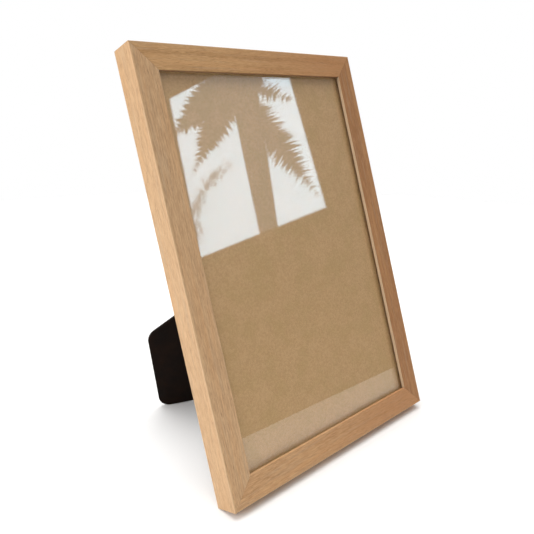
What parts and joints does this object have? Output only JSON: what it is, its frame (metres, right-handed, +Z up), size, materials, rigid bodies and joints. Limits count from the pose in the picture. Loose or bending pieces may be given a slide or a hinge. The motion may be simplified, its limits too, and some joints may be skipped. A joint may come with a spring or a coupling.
{
  "type": "tabletop picture frame",
  "caption": "Wooden tabletop picture frame for a 20 x 30 cm picture, with glass, fibreboard back and a black folding easel leg on a diagonal hinge.",
  "frame": {"origin": "middle of the base of the box around the standing frame, on the surface it stands on", "axes": "-Y towards the viewer of the picture, +Z up, +X to the viewer's right; the frame leans back towards +Y by 19 degrees"},
  "size_m": [0.231, 0.1698, 0.3194],
  "materials": {
    "oak_moulding": "satin oak-look moulding with a fine straight grain",
    "picture_glass": "clear float glass",
    "fibreboard": "bare brown fibreboard",
    "leg_board": "black-faced fibreboard",
    "hinge_steel": "zinc-plated pressed steel",
    "pin_steel": "drawn steel wire",
    "rivet_steel": "zinc-plated steel",
    "vnail_steel": "bare steel strip",
    "point_steel": "spring steel",
    "hanger_steel": "brass-plated steel"
  },
  "bodies": {
    "frame": {"bottom_rail": "oak_moulding", "left_rail": "oak_moulding", "top_rail": "oak_moulding", "right_rail": "oak_moulding", "glass_pane": "picture_glass", "backing_board": "fibreboard", "hinge_board_leaf": "hinge_steel", "hinge_pin": "pin_steel", "board_rivet_1": "rivet_steel", "board_rivet_2": "rivet_steel", "vnail_bottom_left_1": "vnail_steel", "vnail_bottom_left_2": "vnail_steel", "vnail_top_left_1": "vnail_steel", "vnail_top_left_2": "vnail_steel", "vnail_top_right_1": "vnail_steel", "vnail_top_right_2": "vnail_steel", "vnail_bottom_right_1": "vnail_steel", "vnail_bottom_right_2": "vnail_steel", "top_hanger": "hanger_steel", "top_hanger_nail_1": "hanger_steel", "top_hanger_nail_2": "hanger_steel", "right_hanger": "hanger_steel", "right_hanger_nail_1": "hanger_steel", "right_hanger_nail_2": "hanger_steel"},
    "leg": {"easel_leg": "leg_board", "hinge_leg_leaf": "hinge_steel", "leg_rivet_1": "rivet_steel", "leg_rivet_2": "rivet_steel"},
    "point_bottom_1": {"spring_point_bottom_1": "point_steel"},
    "point_bottom_2": {"spring_point_bottom_2": "point_steel"},
    "point_left_1": {"spring_point_left_1": "point_steel"},
    "point_left_2": {"spring_point_left_2": "point_steel"},
    "point_top_1": {"spring_point_top_1": "point_steel"},
    "point_top_2": {"spring_point_top_2": "point_steel"},
    "point_right_1": {"spring_point_right_1": "point_steel"},
    "point_right_2": {"spring_point_right_2": "point_steel"}
  },
  "joints": [
    {"name": "leg_swing", "type": "hinge", "parent": "frame", "child": "leg", "pos_m": [0.0469, -0.01669, 0.17094], "axis": [0.7547, -0.2136, -0.6203], "range_deg": [-37.4, 0]},
    {"name": "point_bottom_1_bend", "type": "hinge", "parent": "frame", "child": "point_bottom_1", "pos_m": [-0.052, -0.07153, 0.01775], "axis": [-1, 0, 0], "range_deg": [0, 60]},
    {"name": "point_bottom_2_bend", "type": "hinge", "parent": "frame", "child": "point_bottom_2", "pos_m": [0.052, -0.07153, 0.01775], "axis": [-1, 0, 0], "range_deg": [0, 60]},
    {"name": "point_left_1_bend", "type": "hinge", "parent": "frame", "child": "point_left_1", "pos_m": [-0.1005, 0.00612, 0.24326], "axis": [0, 0.3256, 0.9455], "range_deg": [0, 60]},
    {"name": "point_left_2_bend", "type": "hinge", "parent": "frame", "child": "point_left_2", "pos_m": [-0.1005, -0.05118, 0.07684], "axis": [0, 0.3256, 0.9455], "range_deg": [0, 60]},
    {"name": "point_top_1_bend", "type": "hinge", "parent": "frame", "child": "point_top_1", "pos_m": [0.052, 0.02647, 0.30235], "axis": [1, 0, 0], "range_deg": [0, 60]},
    {"name": "point_top_2_bend", "type": "hinge", "parent": "frame", "child": "point_top_2", "pos_m": [-0.052, 0.02647, 0.30235], "axis": [1, 0, 0], "range_deg": [0, 60]},
    {"name": "point_right_1_bend", "type": "hinge", "parent": "frame", "child": "point_right_1", "pos_m": [0.1005, -0.05118, 0.07684], "axis": [0, -0.3256, -0.9455], "range_deg": [0, 60]},
    {"name": "point_right_2_bend", "type": "hinge", "parent": "frame", "child": "point_right_2", "pos_m": [0.1005, 0.00612, 0.24326], "axis": [0, -0.3256, -0.9455], "range_deg": [0, 60]}
  ]
}
